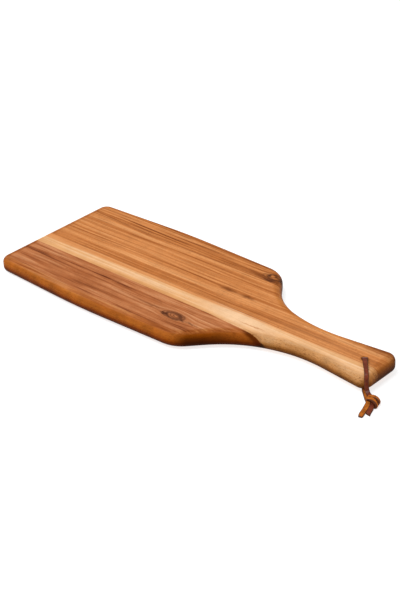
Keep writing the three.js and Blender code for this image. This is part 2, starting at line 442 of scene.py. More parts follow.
def grain_places(node, look, raw):
    """A point's place in the grain, its parts along, across and up, and its distance from the pith.

    Last come the shares by which the wood around each knot is darker.
    """
    # The grain runs round each knot.
    spot = raw
    halos = []
    for x, y, half_length, half_width in look["knots"]:
        away, distance = oval(node, raw, (x, y, 0), (half_length, half_width, math.inf))
        push = node("MapRange", [distance, 0.3, 2.8, 0.8, 0], interpolation_type="SMOOTHERSTEP")[0]
        aside = node("VectorMath", [away, (0, 1, 0)], operation="MULTIPLY")[0]
        shift = node("VectorMath", {0: aside, "Scale": push}, operation="SCALE")[0]
        spot = node("VectorMath", [spot, shift], operation="SUBTRACT")[0]
        halos.append(node("MapRange", [push, 0.1, 0.8, 0, 0.5])[0])

    # The stem was not quite straight, so the grain sways a little along the stave.
    sway = node("VectorMath", [spot, (1 / 170, 1 / 45, 1 / 45)], operation="MULTIPLY")[0]
    sway = node("TexNoise", {"Vector": sway, "Scale": 1, "Detail": 1.5})["Color"]
    sway = node("VectorMath", [sway, (0.5, 0.5, 0.5)], operation="SUBTRACT")[0]
    amount = (0, look["sway"], look["sway"])
    spot = node("VectorMath", [sway, amount, spot], operation="MULTIPLY_ADD")[0]

    pith_y, pith_z = look["pith"]
    stem = {"Vector": spot, "Location": (0, -pith_y, -pith_z), "Rotation": look["turn"]}
    stem = node("Mapping", stem)[0]
    stem = node("VectorMath", [stem, (0, 1, 1)], operation="MULTIPLY")[0]
    radius = node("VectorMath", [stem], operation="LENGTH")["Value"]
    return spot, node("SeparateXYZ", [spot]), radius, halos


def band_tone(node, look, spot, along, radius, lengthwise):
    """Tone of the bands, from dark at 0 to light at 1, and the layers of streaks and fibres in it."""
    # Broad bands of colour, drawn for the stave, which fade and strengthen along it
    line = node("CombineXYZ", [along[0], radius])[0]
    pith_y, pith_z = look["pith"]
    reach = [math.hypot(y - pith_y, TOP - pith_z) for y, level in look["bands"]]
    low, high = min(reach), max(reach)
    stops = [((r - low) / (high - low), (level,) * 3) for r, (y, level) in zip(reach, look["bands"])]
    drawn = node("MapRange", [radius, low, high])[0]
    drawn = node("ValToRGB", [drawn], stops=sorted(stops))[0]
    drawn = node("Math", [drawn, 0.5], operation="SUBTRACT")[0]
    fade = node("VectorMath", [line, (1 / 130, 1 / 14, 0)], operation="MULTIPLY")[0]
    fade = node("TexNoise", {"Vector": fade, "Scale": 1, "Detail": 1}, noise_dimensions="2D")[0]
    fade = node("MapRange", [fade, 0.3, 0.7, 0.4, 1.3])[0]
    value = node("Math", [drawn, fade, 0.5], operation="MULTIPLY_ADD")[0]

    # Bands by ring, then streaks and fibres along the grain, each of a real length and width
    layers = []
    for source, length, width, strength, detail in look["layers"]:
        fibres = source == "grain"
        shares = (1 / length, 1 / width, 1 / width if fibres else 0)
        origin = spot if fibres else line
        scaled = node("VectorMath", [origin, shares, look["seed"]], operation="MULTIPLY_ADD")[0]
        pattern = {"Vector": scaled, "Scale": 1, "Detail": detail, "Roughness": 0.6}
        layer = node("TexNoise", pattern, noise_dimensions="3D" if fibres else "2D")[0]
        layers.append(layer)
        centred = node("Math", [layer, 0.5], operation="SUBTRACT")[0]
        if fibres:
            centred = node("Math", [centred, lengthwise], operation="MULTIPLY")[0]
        value = node("Math", [centred, strength, value], operation="MULTIPLY_ADD")[0]

    # Late wood at the end of each ring
    early, late = (0, 0, 0), (1, 1, 1)
    ring = node("Math", [radius, 1 / look["ring"]], operation="MULTIPLY")[0]
    ring = node("Math", [layers[0], RING_WAVER, ring], operation="MULTIPLY_ADD")[0]
    ring = node("Math", [ring], operation="FRACT")[0]
    ring = node("ValToRGB", [ring], stops=[(0, early), (0.5, early), (0.88, late), (1, early)])[0]
    value = node("Math", [ring, -look["late"], value], operation="MULTIPLY_ADD")[0]
    return value, layers


def border_coats(node, look, colours, spot, along, value, layers):
    """Where a stave holds sapwood and heartwood, the border between them runs slightly aslant.

    Returns the coats of the other wood, and the share of sapwood if there is any.
    """
    kinds = {
        "heart": (colours.heart_dark, colours.heart_mid, colours.heart_light),
        "sap": (colours.sap_dark, colours.sap_mid, colours.sap_light),
        "stain": (colours.knot, colours.heart_deep, colours.heart_deep),
    }
    coats = []
    sap_share = None
    for across, slope, tilt, soft, start, kind in look["borders"]:
        level = node("VectorMath", [spot, (-slope, 1, -tilt)], operation="DOT_PRODUCT")["Value"]
        level = node("Math", [layers[1], BORDER_WAVER, level], operation="MULTIPLY_ADD")[0]
        middle = across + BORDER_WAVER / 2 - tilt * TOP
        ends = (middle - soft, middle + soft)
        crossed = node("MapRange", [level, *ends], interpolation_type="SMOOTHSTEP")[0]
        begun = node("MapRange", [along[0], start, start + BORDER_START])[0]
        crossed = node("Math", [crossed, begun], operation="MULTIPLY")[0]
        other = node("ValToRGB", [value], stops=zip((0.1, 0.5, 0.9), kinds[kind]))[0]
        coats.append(("MIX", crossed, other))
        if kind == "sap":
            sap_share = crossed
    return coats, sap_share


def mark_coats(node, look, paints, firm, loose, layers):
    """Coats for the rings of the knots, then for streaks, stained patches and pale pins."""
    coats = []
    broken = node("MapRange", [layers[1], 0.32, 0.6, 0.6, 1])[0]
    for x, y, half_length, half_width, thickness, strength in look["rings"]:
        distance = oval(node, firm, (x, y, 0), (half_length, half_width, math.inf))[1]
        off = node("Math", [distance, 1], operation="SUBTRACT")[0]
        off = node("Math", [off], operation="ABSOLUTE")[0]
        mask = node("MapRange", [off, 0, thickness, strength, 0], interpolation_type="SMOOTHSTEP")[0]
        mask = node("Math", [mask, broken], operation="MULTIPLY")[0]
        coats.append(("MIX", mask, paints["knot"]))
    for x, y, z, half_length, half_width, half_height, strength, paint in look["marks"]:
        distance = oval(node, loose, (x, y, z), (half_length, half_width, half_height))[1]
        ragged = node("Math", [layers[-1], 1.2, distance], operation="MULTIPLY_ADD")[0]
        mask = node("MapRange", [ragged, 0.6, 1.7, strength, 0], interpolation_type="SMOOTHSTEP")[0]
        coats.append(("MIX", mask, paints[paint]))
    return coats


def oil_and_painted_shade(node, look, sizes, raw, normal, sap_share):
    """Along the rounded edges the wood drinks more oil, and most of all on the end grain. The same ramps
    also paint shade: almost black at the foot of the edges, and darker end faces.
    """
    lean = sizes.lift / (sizes.length - sizes.hole_place - sizes.edge_round)
    foot = lean * (sizes.length / 2 - sizes.edge_round) / MM
    height = node("VectorMath", [raw, (-lean, 0, 1)], operation="DOT_PRODUCT")["Value"]
    height = node("MapRange", [height, foot, foot + sizes.thickness / MM])[0]
    # The rim carries the darker colour of the edge, its oil and painted shade, a little onto the flat top.
    rim = node("Attribute", attribute_name="rim")["Fac"]
    rim = node("Math", [rim, -look["rim"], 1], operation="MULTIPLY_ADD")[0]
    height = node("Math", [height, rim], operation="MINIMUM")[0]
    # Oil and painted shade down the rounded edges, by height.
    oiled = node("ValToRGB", [height], stops=look["edge"])[0]
    if sap_share:
        pale_oil_and_shade = node("ValToRGB", [height], stops=SAP_EDGE_OIL_AND_SHADE)[0]
        oiled = node("Mix", {0: sap_share, 6: oiled, 7: pale_oil_and_shade}, data_type="RGBA")[2]
    sideways = node("VectorMath", [normal, (1, 1, 0)], operation="MULTIPLY")[0]
    sideways = node("VectorMath", [sideways], operation="NORMALIZE")[0]
    ended = node("SeparateXYZ", [sideways])[0]
    ended = node("Math", [ended], operation="ABSOLUTE")[0]
    ended = node("MapRange", [ended, 0.4, 0.72])[0]
    # Oil and painted shade on the end faces, by height.
    end_oil_and_shade = node("ValToRGB", [height], stops=look["end"])[0]
    return node("Mix", {0: ended, 6: oiled, 7: end_oil_and_shade}, data_type="RGBA")[2]


def wood(name, look, tones, colours, sizes):
    """Oiled acacia, planed and sanded: rings cut lengthwise give bands, with fibres and open pores."""
    material, shader, node = new_material(name)
    place = node("TexCoord")
    raw = node("VectorMath", {0: place["Object"], "Scale": 1 / MM}, operation="SCALE")[0]

    # Which way the surface faces: end grain shows no fibres
    facing = node("SeparateXYZ", [place["Normal"]])
    steep = node("Math", [facing[2]], operation="ABSOLUTE")[0]
    ended = node("Math", [facing[0]], operation="ABSOLUTE")[0]
    lengthwise = node("MapRange", [ended, 0.2, 0.75, 1, 0.2])[0]

    # Nothing in wood is quite regular: a small wander for the outlines of knots and marks
    wander = node("VectorMath", [raw, (1 / 9, 1 / 5, 1 / 5)], operation="MULTIPLY")[0]
    wander = node("TexNoise", {"Vector": wander, "Scale": 1, "Detail": 3, "Roughness": 0.6})["Color"]
    wander = node("VectorMath", [wander, (0.5, 0.5, 0.5)], operation="SUBTRACT")[0]
    loose = node("VectorMath", [wander, LOOSE, raw], operation="MULTIPLY_ADD")[0]
    firm = node("VectorMath", [wander, FIRM, raw], operation="MULTIPLY_ADD")[0]

    # On the sides, sanding across the fibres and more oil even out the bands.
    spot, along, radius, halos = grain_places(node, look, raw)
    value, layers = band_tone(node, look, spot, along, radius, lengthwise)
    calm = node("MapRange", [steep, 0.95, 0.6, 0, look["calm"]])[0]
    value = node("Mix", {0: calm, 2: value, 3: CALM_TONE})[0]
    tint = node("ValToRGB", [value], stops=zip(look["tone_places"], tones))[0]

    # What lies over the bands, as coats of colour: how each blends, its share and its paint
    coats, sap_share = border_coats(node, look, colours, spot, along, value, layers)

    # A dark edge of heartwood that leans through the thickness
    if look["heart_edge"]:
        across, slope, soft = look["heart_edge"]
        level = node("VectorMath", [wander, (4, 1, 1), raw], operation="MULTIPLY_ADD")[0]
        level = node("SeparateXYZ", [level])
        level = node("Math", [level[2], slope, level[1]], operation="MULTIPLY_ADD")[0]
        ends = (across + soft, across - soft)
        stained = node("MapRange", [level, *ends, 0, 0.94], interpolation_type="SMOOTHSTEP")[0]
        coats.append(("MIX", stained, colours.knot))

    # Thin dark vessel lines, which start and end along the grain
    vessel = node("VectorMath", [spot, (1 / 120, 1 / 1.5, 1 / 1.5)], operation="MULTIPLY")[0]
    vessel = node("TexNoise", {"Vector": vessel, "Scale": 1, "Detail": 2, "Roughness": 0.55})[0]
    vessel = node("MapRange", [vessel, 0.55, 0.65, 0, look["vessels"]])[0]
    vessel = node("Math", [vessel, lengthwise], operation="MULTIPLY")[0]
    coats.append(("MIX", vessel, tones[0]))

    # Knots, with darker wood around them, and marks
    coats += [("MIX", halo, tones[1]) for halo in halos]
    paints = {"deep": tones[0], "light": tones[3], "knot": colours.knot}
    coats += mark_coats(node, look, paints, firm, loose, layers)

    # Open pores: short dark dashes along the grain, drawn twice as wide as real ones so that they show
    pore = node("VectorMath", [loose, (1 / 4, 1 / 0.8, 1 / 0.8)], operation="MULTIPLY")[0]
    pore = node("TexNoise", {"Vector": pore, "Scale": 1, "Detail": 1})[0]
    pore = node("MapRange", [pore, 0.55, 0.68])[0]
    depth = node("MapRange", [steep, 0.95, 0.4, *look["pores"]])[0]
    open_pore = node("Math", [pore, depth], operation="MULTIPLY")[0]
    coats.append(("MIX", open_pore, colours.glue))

    # Figure: the fibres lean to and fro, and the sheen they throw back shows as soft lighter and darker
    # patches on the sides; here this sheen is painted into the colour.
    painted_sheen = node("VectorMath", [raw, (1 / 13, 1 / 16, 1 / 16)], operation="MULTIPLY")[0]
    painted_sheen = node("TexNoise", {"Vector": painted_sheen, "Scale": 1, "Detail": 2})[0]
    painted_sheen = node("Math", [painted_sheen, 0.5], operation="SUBTRACT")[0]
    swing = node("MapRange", [steep, 0.97, 0.5, 0.25, 0.75])[0]
    painted_sheen = node("Math", [painted_sheen, swing, 1], operation="MULTIPLY_ADD")[0]
    coats.append(("MULTIPLY", 1, painted_sheen))

    # Thin dark glue lines
    side = node("SeparateXYZ", [raw])[1]
    for seam, strength in look["glue"].items():
        off = node("Math", [side, getattr(sizes, seam) / MM], operation="SUBTRACT")[0]
        off = node("Math", [off], operation="ABSOLUTE")[0]
        mask = node("MapRange", [off, 0.1, 0.6, strength, 0])[0]
        coats.append(("MIX", mask, colours.glue))

    # Oil of the edges and end grain, with painted shade down the edges and on the end faces.
    coats.append(("MULTIPLY", 1, oil_and_painted_shade(node, look, sizes, raw, place["Normal"], sap_share)))
    for blend, share, paint in coats:
        over = paint if isinstance(paint, bpy.types.NodeSocket) else (*paint, 1)
        tint = node("Mix", {0: share, 6: tint, 7: over}, data_type="RGBA", blend_type=blend)[2]
    rough = node("MapRange", [layers[-1], 0.3, 0.7, 0.42, 0.58])[0]
    relief = node("Math", [pore, -1, layers[-1]], operation="MULTIPLY_ADD")[0]
    bump = node("Bump", {"Strength": 0.3, "Distance": 0.1 * MM, "Height": relief})[0]
    connect(shader, {"Base Color": tint, "Roughness": rough, "Normal": bump})
    connect(shader, {"IOR": 1.47, "Specular IOR Level": 0.04, "Specular Tint": (*colours.lustre, 1)})
    return material


# Lace

ROUTE_PARTS = 24
SECTION_POINTS = 32
# A span of the section that faces up or down by less than this gets the cut edge's finish; this takes in
# the curving margins of the flat sides too, where the dark finish is painted shade
EDGE_AND_SHADE_RISE = 0.85


def smooth_route(points, spacing):
    """Points along the smooth curve through the chosen points, evenly spaced."""
    ends = [points[0] * 2 - points[1], *points, points[-1] * 2 - points[-2]]
    fine = []
    for a, b, c, d in zip(ends, ends[1:], ends[2:], ends[3:]):
        t1 = math.sqrt((b - a).length)
        t2 = t1 + math.sqrt((c - b).length)
        t3 = t2 + math.sqrt((d - c).length)
        for k in range(ROUTE_PARTS):
            t = t1 + (t2 - t1) * k / ROUTE_PARTS
            p = a.lerp(b, t / t1)
            q = b.lerp(c, (t - t1) / (t2 - t1))
            r = c.lerp(d, (t - t2) / (t3 - t2))
            s = p.lerp(q, t / t2)
            u = q.lerp(r, (t - t1) / (t3 - t1))
            fine.append(s.lerp(u, (t - t1) / (t2 - t1)))
    fine.append(points[-1].copy())
    total = sum((q - p).length for p, q in zip(fine, fine[1:]))
    count = max(2, round(total / spacing))
    even = [fine[0].copy()]
    gone = 0
    for p, q in zip(fine, fine[1:]):
        step = (q - p).length
        while step and len(even) < count and gone + step >= len(even) * total / count:
            even.append(p.lerp(q, (len(even) * total / count - gone) / step))
        gone += step
    even.append(fine[-1].copy())
    return even


def lace_section(width, thickness, boxy):
    """Section of the lace as points across and through it, with the side that each span belongs to.

    boxy is small for a flat lace with eased corners, and larger for one that is pulled round.
    """
    points = []
    for k in range(SECTION_POINTS):
        angle = 2 * math.pi * (k + 0.5) / SECTION_POINTS
        across = math.copysign(abs(math.cos(angle)) ** boxy, math.cos(angle))
        through = math.copysign(abs(math.sin(angle)) ** boxy, math.sin(angle))
        rise = math.sin(angle + math.pi / SECTION_POINTS)
        face = 1 if abs(rise) < EDGE_AND_SHADE_RISE else 0 if rise > 0 else 2
        points.append((across * width / 2, through * thickness / 2, face))
    return points


def lace_frames(path, side=None, axis=None):
    """Place, direction, width direction and outward direction at each point of the lace.

    An open lace starts with its width along side, and a closed wrap faces away from axis.
    """
    frames = []
    turned = side
    last = len(path) - 1
    for k, point in enumerate(path):
        if axis:
            ahead = (path[(k + 1) % len(path)] - path[k - 1]).normalized()
            outward = point - axis[0]
            outward -= axis[1] * outward.dot(axis[1])
            outward = (outward - ahead * outward.dot(ahead)).normalized()
            turned = outward.cross(ahead)
        else:
            ahead = (path[min(k + 1, last)] - path[max(k - 1, 0)]).normalized()
            outward = ahead.cross(turned).normalized()
            turned = outward.cross(ahead)
        frames.append((point, ahead, turned, outward))
    return frames


# The lace is a little uneven: by what share of its size, and how often per metre
WORN = 0.03
WORN_PER_METRE = 260
# Rings of points over which a cut end is slanted or rounded off
END_RINGS = 5
# The lowest that the lace may lie
FLOOR_GAP = 0.1 * MM
# Finishes of the outward side, the edges and the inward side; the edges' dark finish also paints shade
# along the margins of the flat sides
GRAIN_SIDE, FLESH_SIDE, CUT_EDGE_AND_SHADE = range(3)
GRAIN_OUT = (GRAIN_SIDE, CUT_EDGE_AND_SHADE, FLESH_SIDE)
FLESH_OUT = (FLESH_SIDE, CUT_EDGE_AND_SHADE, GRAIN_SIDE)


def add_lace(body, frames, section, finishes, widths=None, cut=0, closed=False):
    """Adds a length of lace to a bmesh; finishes are those of its outward side, edges and inward side.

    widths scale the width along the lace, and cut slants its last end, as a share of the width.
    """
    rings = []
    for k, (point, ahead, turned, outward) in enumerate(frames):
        worn = 1 + WORN * noise.noise(point * WORN_PER_METRE)
        scale = worn * (widths[k] if widths else 1)
        slant = cut * max(0, 1 - (len(frames) - 1 - k) / END_RINGS)
        ring = []
        for across, through, face in section:
            spot = point + turned * (across * scale) + outward * (through * worn)
            spot += ahead * (slant * across)
            spot.z = max(spot.z, FLOOR_GAP)
            ring.append(body.verts.new(spot))
        rings.append(ring)
    spans, ends = skin(body, rings, closed)
    for k, face in enumerate(spans):
        face.material_index = finishes[section[k % len(section)][2]]
    for face in ends:
        face.material_index = CUT_EDGE_AND_SHADE


def lace_place(settings):
    """Moves points given outward from the hole, to the left and up, in metres, to where the lace is."""
    board = settings.board
    hole = Matrix.Translation((board.length / 2 - board.hole_place, 0, 0))
    return hole @ Matrix.Rotation(settings.lace.turn, 4, "Z")


def metres(points):
    """Points given in millimetres, as vectors in metres."""
    return [Vector(point) * MM for point in points]


# Routes of the lace: points outward from the hole, to the left and up, in millimetres
UPPER_ROUTE = [
    (-0.7, 0, 12.7), (-0.7, 0, 15.7), (-0.5, 0, 18.9), (1.0, -0.1, 21.7), (4.0, -0.3, 23.1),
    (8.0, -0.6, 23.4), (12.9, -0.8, 23.3), (18.2, -0.9, 22.9), (23.4, -1.0, 22.55), (27.7, -1.1, 22.15),
    (31.3, -1.3, 20.2), (33.4, -1.4, 16.9), (34.1, -1.4, 13.7), (34.4, -1.3, 10.6), (35.6, -1.0, 7.6),
    (37.8, -0.4, 5.4), (40.4, 0.4, 4.4), (42.4, 1.1, 4.15), (44.3, 1.8, 4.15),
]
LOWER_ROUTE = [
    (-0.7, 0, 12.2), (-0.7, 0, 8), (-0.7, 0, 4.4), (0.8, -0.1, 1.65), (4.4, -0.5, 1.11),
    (8.3, -1.2, 1.12), (12.7, -1.8, 1.12), (18.2, -2.3, 1.12), (24.2, -2.7, 1.12), (29.2, -2.8, 1.12),
    (33.7, -2.6, 1.12), (37.7, -2.3, 1.15), (41.2, -2.1, 1.25), (45.1, -1.9, 1.6),
]
SHORT_TAIL = [(58.1, 2.6, 2.7), (63.3, 0.1, 1.45), (67.4, -1.8, 1.2), (71.4, -3.3, 1.2)]
LONG_TAIL = [
    (55.7, -1.8, 2.8), (60.7, -4.3, 1.7), (65.6, -6.8, 1.25), (70.4, -9.2, 1.2), (74.9, -11.1, 1.2),
]
# The strands inside the knot join each route to its tail.
UPPER_INSIDE = [*UPPER_ROUTE[-2:], (49.2, 3.1, 4.4), *SHORT_TAIL[:2]]
LOWER_INSIDE = [*LOWER_ROUTE[-2:], (50.2, -1.5, 2.6), *LONG_TAIL[:2]]
# The two wraps of the knot, as points along its tails, across them and up
FRONT_WRAP = [
    (-1.2, -6.0, 1.6), (-1.5, -6.3, 3.4), (-0.5, -4.2, 5.6), (1.1, -0.4, 6.5), (2.9, 3.2, 5.8),
    (4.2, 5.6, 3.9), (4.8, 6.0, 2.0), (4.0, 3.6, 1.12), (1.5, 0, 1.12), (-0.5, -3.8, 1.12),
]
REAR_WRAP = [
    (-4.3, -6.0, 2.0), (-4.5, -6.0, 3.6), (-4.1, -4.4, 5.4), (-3.9, -1.8, 6.3), (-3.4, 2.0, 6.3),
    (-2.4, 5.0, 5.2), (-1.4, 6.3, 3.4), (-0.8, 6.0, 1.9), (-1.8, 3, 1.12), (-3.3, -1.2, 1.12),
    (-4.2, -4.4, 1.2),
]
KNOT_HEIGHT = 3.2 * MM
# A wrap that is pulled tight is wider and thicker than the lace.
PULLED_WIDTH = 1.15
PULLED_THICKNESS = 1.25
# How square the section is: a flat lace with eased corners, and one that is pulled tight
FLAT = 0.35
PULLED_ROUND = 0.55
LEFTWARD = Vector((0, 1, 0))
LACE_SPACING = 0.7 * MM
# How far from the hole's mouth the upper strand is still spread
MOUTH_SPREAD = 10 * MM


def leather_grain(colours):
    """Waxed grain side of the leather: drum-dyed and rolled smooth, with fine creased grain."""
    material, shader, node = new_material("leather grain side")
    raw = node("TexCoord")["Object"]
    cloud = node("TexNoise", {"Vector": raw, "Scale": 1 / (6 * MM), "Detail": 4})[0]
    cells = node("TexVoronoi", {"Vector": raw, "Scale": 1 / (0.6 * MM)}, feature="DISTANCE_TO_EDGE")[0]
    pale = tuple(min(1, 1.5 * c + 0.01) for c in colours.grain)
    deep = tuple(0.6 * c for c in colours.grain)
    tint = node("ValToRGB", [cloud], stops=[(0.32, deep), (0.68, pale)])[0]
    crease = node("MapRange", [cells, 0, 0.12, 0.35, 0])[0]
    tint = node("Mix", {0: crease, 6: tint, 7: (*deep, 1)}, data_type="RGBA")[2]
    rough = node("MapRange", [cloud, 0.3, 0.7, 0.18, 0.3])[0]
    bump = node("Bump", {"Strength": 0.3, "Distance": 0.06 * MM, "Height": cells})[0]
    connect(shader, {"Base Color": tint, "Roughness": rough, "Normal": bump})
    connect(shader, {"IOR": 1.5, "Specular IOR Level": 0.12})
    return material


def leather_flesh(colours):
    """Flesh side of the leather: undyed, with a short nap of fibres."""
    material, shader, node = new_material("leather flesh side")
    raw = node("TexCoord")["Object"]
    cloud = node("TexNoise", {"Vector": raw, "Scale": 1 / (4 * MM), "Detail": 3})[0]
    nap = node("TexNoise", {"Vector": raw, "Scale": 1 / (0.5 * MM), "Detail": 3, "Roughness": 0.7})[0]
    mixed = node("Math", [nap, 0.5, cloud], operation="MULTIPLY_ADD")[0]
    pale = tuple(min(1, 1.35 * c) for c in colours.flesh)
    deep = tuple(0.55 * c for c in colours.flesh)
    tint = node("ValToRGB", [mixed], stops=[(0.5, deep), (0.95, pale)])[0]
    bump = node("Bump", {"Strength": 0.4, "Distance": 0.1 * MM, "Height": nap})[0]
    connect(shader, {"Base Color": tint, "Roughness": 0.75, "Normal": bump})
    connect(shader, {"IOR": 1.5, "Specular IOR Level": 0.05})
    return material


def leather_edge_and_shade(colours):
    """Cut edge of the leather: waxed and rubbed down, with the layers of the hide as faint lines. Its dark
    colour also paints shade along the curving margins of the lace's flat sides.
    """
    material, shader, node = new_material("leather cut edge and painted shade")
    raw = node("TexCoord")["Object"]
    layer = {"Vector": raw, "Scale": 1 / (1.2 * MM), "Detail": 4, "Roughness": 0.65}
    layer = node("TexNoise", layer)[0]
    pale = tuple(min(1, 1.8 * c) for c in colours.edge)
    deep = tuple(0.5 * c for c in colours.edge)
    tint = node("ValToRGB", [layer], stops=[(0.35, deep), (0.7, pale)])[0]
    bump = node("Bump", {"Strength": 0.3, "Distance": 0.08 * MM, "Height": layer})[0]
    connect(shader, {"Base Color": tint, "Roughness": 0.55, "Normal": bump})
    connect(shader, {"IOR": 1.5, "Specular IOR Level": 0.15})
    return material


def leathers(colours):
    """The three leather finishes, made once."""
    makers = {
        "leather grain side": leather_grain,
        "leather flesh side": leather_flesh,
        "leather cut edge and painted shade": leather_edge_and_shade,
    }
    return [bpy.data.materials.get(name) or make(colours) for name, make in makers.items()]


def nearest(path, point, span):
    """Which point of a path, within a span of its numbers, lies nearest to a given one."""
    return min(span, key=lambda k: (path[k] - point).length)


def lace_path(settings, route):
    """Evenly spaced points along a route, where the lace is."""
    return smooth_route([lace_place(settings) @ point for point in metres(route)], LACE_SPACING)


def lay_lace(body, settings, path, finishes, widths=None, cut=0):
    """Adds an open length of flat lace along a path."""
    side = lace_place(settings).to_3x3() @ LEFTWARD
    section = lace_section(settings.lace.width, settings.lace.thickness, FLAT)
    add_lace(body, lace_frames(path, side), section, finishes, widths, cut)


def lace_piece(name, body, solid, colours):
    """A piece of the lace, made from a bmesh in place of its plain solid."""
    bmesh.ops.recalc_face_normals(body, faces=body.faces[:])
    made = new_object(name, body, leathers(colours))
    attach(made, "lace")
    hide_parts(solid)
    return made


# Stage: angles in radians and lengths in metres, with the camera placed from the middle of the board

CAMERA_TURN = 0.750447
CAMERA_RISE = 0.526397
CAMERA_ROLL = -0.039235
CAMERA_AIM = Vector((-0.01416, 0.00694, -0.00038))
CAMERA_DISTANCE = 1.70967
CAMERA_SIGHT = 20
FLOOR_HALF = 6
FLOOR_DROP = 0.2 * MM
KEY_FROM = Vector((-0.20, -0.34, 0.92))
KEY_SOFTNESS = math.radians(40)


def camera_place(board):
    """Place of the camera, which was fitted to the board before it leans on its lace."""
    level = math.cos(CAMERA_RISE)
    away = Vector((math.sin(CAMERA_TURN) * level, -math.cos(CAMERA_TURN) * level, math.sin(CAMERA_RISE)))
    right = Vector((math.cos(CAMERA_TURN), math.sin(CAMERA_TURN), 0))
    up = away.cross(right)
    tilted_right = right * math.cos(CAMERA_ROLL) + up * math.sin(CAMERA_ROLL)
    tilted_up = up * math.cos(CAMERA_ROLL) - right * math.sin(CAMERA_ROLL)
    turned = Matrix((tilted_right, tilted_up, away)).transposed().to_4x4()
    eye = Matrix.Translation(CAMERA_AIM + away * CAMERA_DISTANCE)
    unstood = Matrix.Translation((board.length / 2, 0, 0))
    return standing_place(board) @ unstood @ eye @ turned


class SERVINGBOARD_OT_stage(bpy.types.Operator):
    """Sets up the camera, the pale floor and the soft light"""

    bl_idname = "serving_board.stage"
    bl_label = "Stage"

    def execute(self, context):
        scene = context.scene
        stage = scene.serving_board.stage
        lens = bpy.data.cameras.new("camera")
        lens.lens = stage.lens
        lens.clip_end = CAMERA_SIGHT
        camera = bpy.data.objects.new("camera", lens)
        camera.matrix_world = camera_place(scene.serving_board.board)
        scene.collection.objects.link(camera)
        scene.camera = camera

        floor_body = bmesh.new()
        bmesh.ops.create_grid(floor_body, x_segments=1, y_segments=1, size=FLOOR_HALF)
        bmesh.ops.translate(floor_body, verts=floor_body.verts, vec=(0, 0, -FLOOR_DROP))
        # Opal acrylic, lit from below: shadows on it stay faint
        opal, shader = new_material("opal acrylic light table")[:2]
        connect(shader, {"Base Color": (*stage.floor_dull, 1), "Roughness": 0.95})
        connect(shader, {"Emission Color": (*stage.floor, 1), "Emission Strength": stage.glow})
        connect(shader, {"Specular IOR Level": 0.1})
        new_object("floor", floor_body, [opal])

        key = bpy.data.lights.new("key", "SUN")
        key.energy = stage.key
        key.angle = KEY_SOFTNESS
        lamp = bpy.data.objects.new("key", key)
        lamp.rotation_euler = KEY_FROM.to_track_quat("Z", "Y").to_euler()
        scene.collection.objects.link(lamp)
        world = bpy.data.worlds.new("even light")
        world.use_nodes = True
        around = world.node_tree.nodes["Background"]
        connect(around, {"Color": (1, 1, 1, 1), "Strength": stage.fill})
        scene.world = world
        scene.view_settings.view_transform = "Standard"
        return {"FINISHED"}


class SERVINGBOARD_OT_knot(bpy.types.Operator):
    """Ties the knot: two wraps side by side over the strands that run through it"""

    bl_idname = "serving_board.knot"
    bl_label = "Knot"

    def execute(self, context):
        settings = context.scene.serving_board
        lace = settings.lace
        place = lace_place(settings)
        turned = Matrix.Rotation(lace.knot_turn, 4, "Z")
        middle = place @ Matrix.Translation((lace.knot_out, lace.knot_left, 0)) @ turned
        axis = (middle @ Vector((0, 0, KNOT_HEIGHT)), middle.to_3x3() @ Vector((1, 0, 0)))
        pulled = lace_section(PULLED_WIDTH * lace.width, PULLED_THICKNESS * lace.thickness, PULLED_ROUND)
        body = bmesh.new()
        for wrap in (FRONT_WRAP, REAR_WRAP):
            points = [middle @ point for point in metres(wrap)]
            # The route runs on past its start at both ends, so that the closed wrap is smooth there.
            looped = smooth_route(points[-2:] + points + points[:3], LACE_SPACING)
            half = len(looped) // 2
            start = nearest(looped, points[0], range(half))
            stop = nearest(looped, points[0], range(half, len(looped)))
            add_lace(body, lace_frames(looped[start:stop], axis=axis), pulled, FLESH_OUT, closed=True)
        for route, finishes in ((UPPER_INSIDE, GRAIN_OUT), (LOWER_INSIDE, FLESH_OUT)):
            path = lace_path(settings, route)
            points = [place @ point for point in metres(route)]
            # Only what lies between the end of the strand and the start of the tail is laid.
            first, last = (nearest(path, points[k], range(len(path))) for k in (1, 3))
            lay_lace(body, settings, path[first:last + 1], finishes)
        lace_piece("knot", body, "lace_knot", settings.leather)
        return {"FINISHED"}


class SERVINGBOARD_OT_tails(bpy.types.Operator):
    """Cuts the two tails that come out of the knot"""

    bl_idname = "serving_board.tails"
    bl_label = "Tails"

    def execute(self, context):
        settings = context.scene.serving_board
        # Name, route, solid, finishes, slant of the cut, rounding of the end, share of the lace's width
        tails = (
            ("short_tail", SHORT_TAIL, "lace_tail_short", GRAIN_OUT, 0.55, 0, 1.12),
            ("long_tail", LONG_TAIL, "lace_tail_long", FLESH_OUT, 0, 0.25, 1.2),
        )
        for name, route, solid, finishes, cut, less, spread in tails:
            body = bmesh.new()
            path = lace_path(settings, route)
            rest = [len(path) - 1 - k for k in range(len(path))]
            widths = [spread * (1 - less * max(0, 1 - k / END_RINGS) ** 2) for k in rest]
            lay_lace(body, settings, path, finishes, widths, cut)
            lace_piece(name, body, solid, settings.leather)
        return {"FINISHED"}


class SERVINGBOARD_OT_strands(bpy.types.Operator):
    """Runs the two strands of the lace from the hole to the knot"""

    bl_idname = "serving_board.strands"
    bl_label = "Strands"

    def execute(self, context):
        settings = context.scene.serving_board
        # Name, route, solid, finishes, height of the hole's mouth, spread there, pieces at the far end
        strands = (
            ("upper_strand", UPPER_ROUTE, "lace_upper", GRAIN_OUT, 20.9, 0.35, ["knot", "short_tail"]),
            ("lower_strand", LOWER_ROUTE, "lace_lower", FLESH_OUT, 2.4, 0, ["long_tail"]),
        )
        for name, route, solid, finishes, exit_height, wider, carried in strands:
            body = bmesh.new()
            path = lace_path(settings, route)
            mouth = lace_place(settings) @ Vector((0, 0, exit_height * MM))
            away = [(point - mouth).length / MOUTH_SPREAD for point in path]
            widths = [1 + wider * math.exp(-share ** 2) for share in away]
            lay_lace(body, settings, path, finishes, widths)
            made = lace_piece(name, body, solid, settings.leather)
        return {"FINISHED"}
